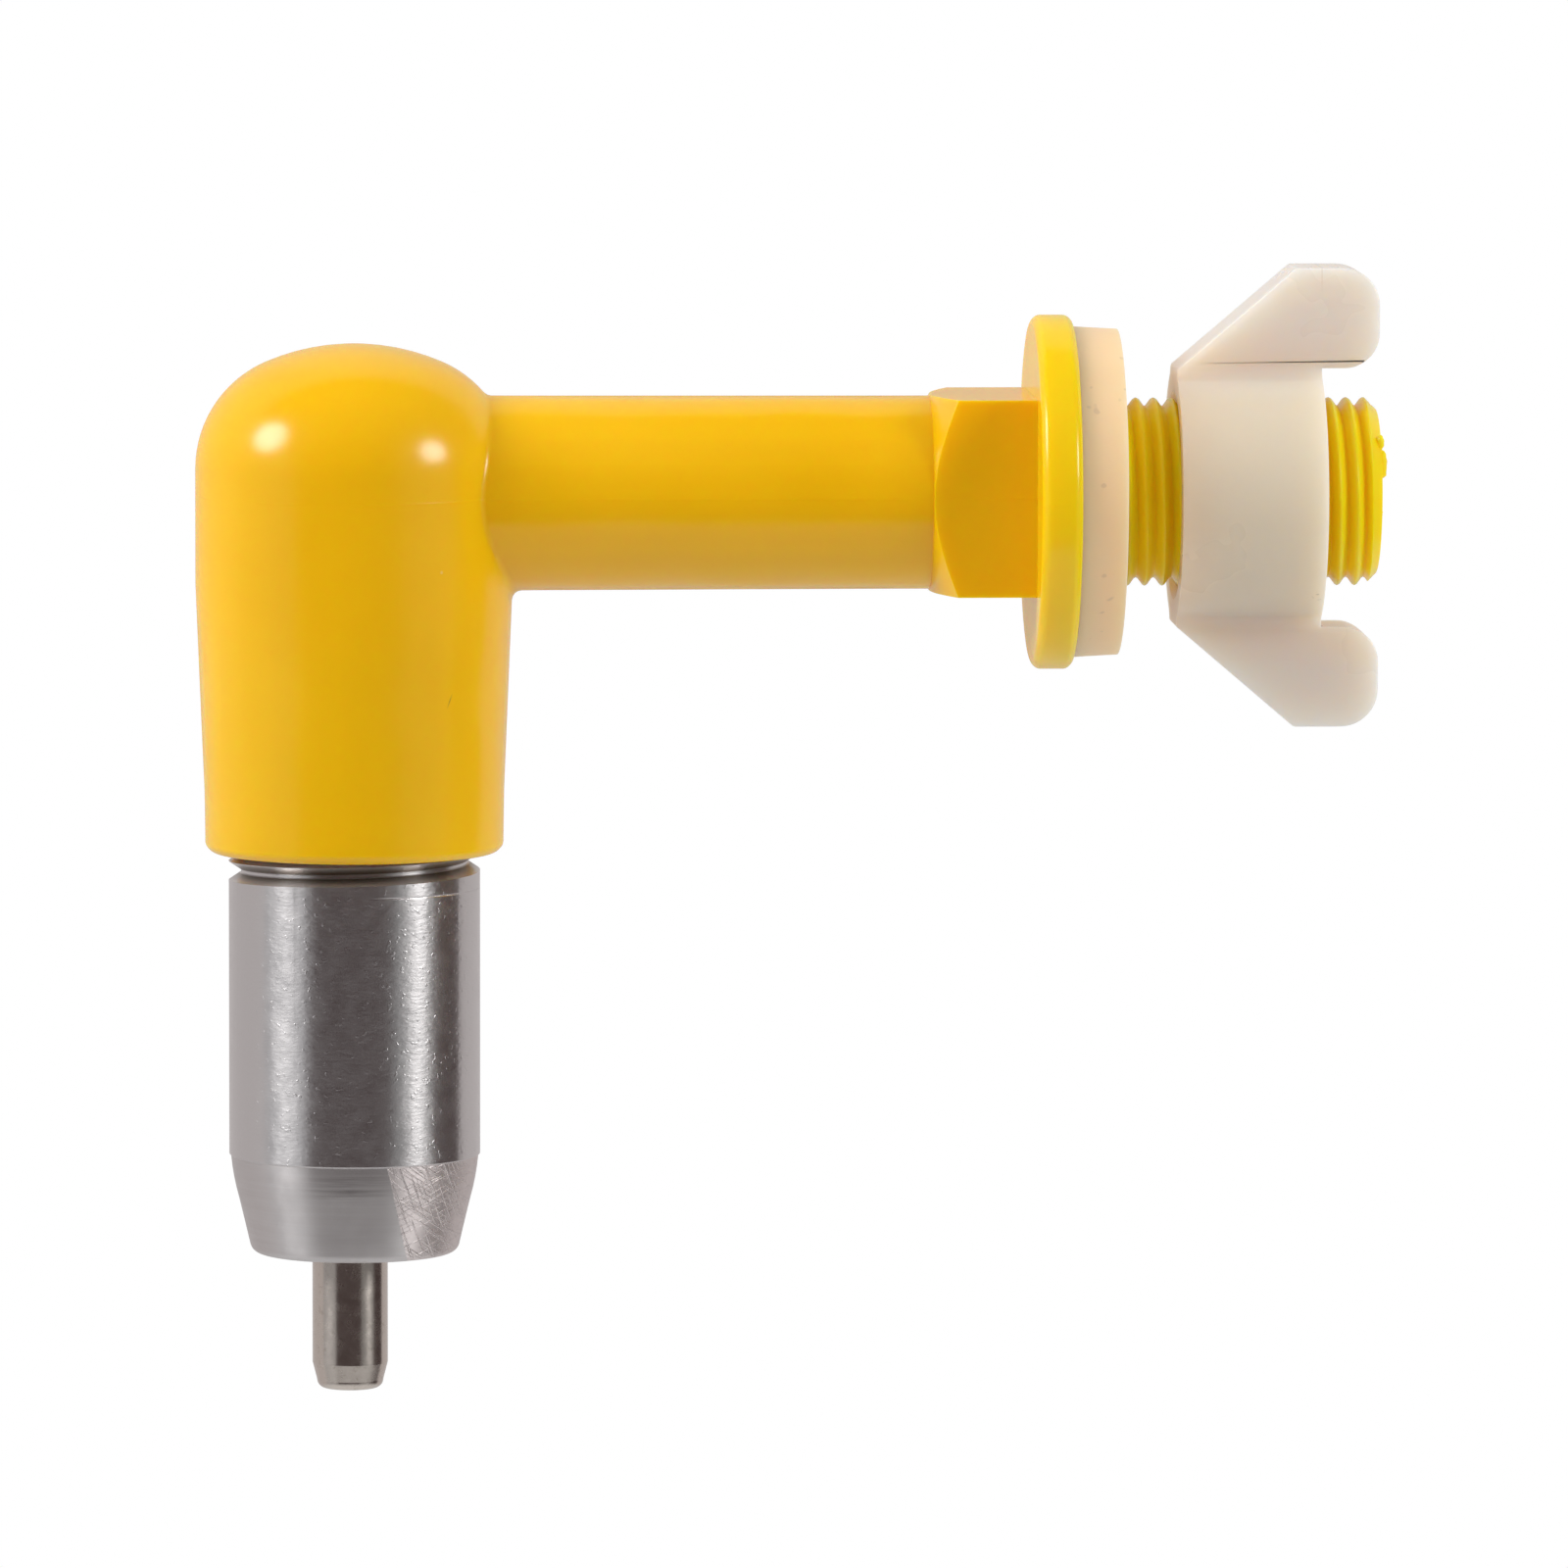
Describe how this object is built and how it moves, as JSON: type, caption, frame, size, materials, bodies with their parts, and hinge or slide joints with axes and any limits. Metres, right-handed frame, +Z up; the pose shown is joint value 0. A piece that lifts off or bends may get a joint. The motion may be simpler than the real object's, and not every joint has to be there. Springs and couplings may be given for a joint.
{
  "type": "poultry nipple drinker",
  "caption": "Nipple drinker for poultry: a steel nipple with a hanging trigger pin, carried on a moulded elbow whose threaded stub takes a sealing washer and a wing nut.",
  "frame": {"origin": "centre of the sealing washer's clamping face, on the axis of the threaded stub: where the face of the panel or pipe wall comes", "axes": "+X along the stub, from the elbow through the wall towards the wing nut; +Z up; the nipple's axis is parallel to Z at X = -0.0394 m and the pin hangs towards -Z"},
  "size_m": [0.061, 0.0182, 0.0582],
  "materials": {
    "yellow_plastic": "glossy injection moulding",
    "pale_rubber": "smooth, slightly dull",
    "translucent_plastic": "milky, satin",
    "turned_steel": "turned, cone brushed",
    "black_rubber": "matte",
    "inner_steel": "turned",
    "cage_plastic": "satin",
    "pin_steel": "polished, lightly worn"
  },
  "bodies": {
    "drinker": {"elbow_body": "yellow_plastic", "sealing_washer": "pale_rubber", "nipple_housing": "turned_steel", "thread_gasket": "black_rubber", "seat_bush": "inner_steel", "valve_cage": "cage_plastic"},
    "nut": {"wing_nut": "translucent_plastic"},
    "valve": {"valve_stem": "inner_steel"},
    "trigger": {"trigger_pin": "pin_steel"}
  },
  "joints": [
    {"name": "nut_travel", "type": "slide", "parent": "drinker", "child": "nut", "axis": [1, 0, 0], "range_m": [-0.00272, 0.01451]},
    {"name": "valve_lift", "type": "slide", "parent": "drinker", "child": "valve", "axis": [0, 0, 1], "range_m": [0, 0.001]},
    {"name": "trigger_tilt", "type": "hinge", "parent": "valve", "child": "trigger", "pos_m": [-0.03965, 0, -0.027], "axis": [0, 1, 0], "range_deg": [-5, 5]}
  ]
}
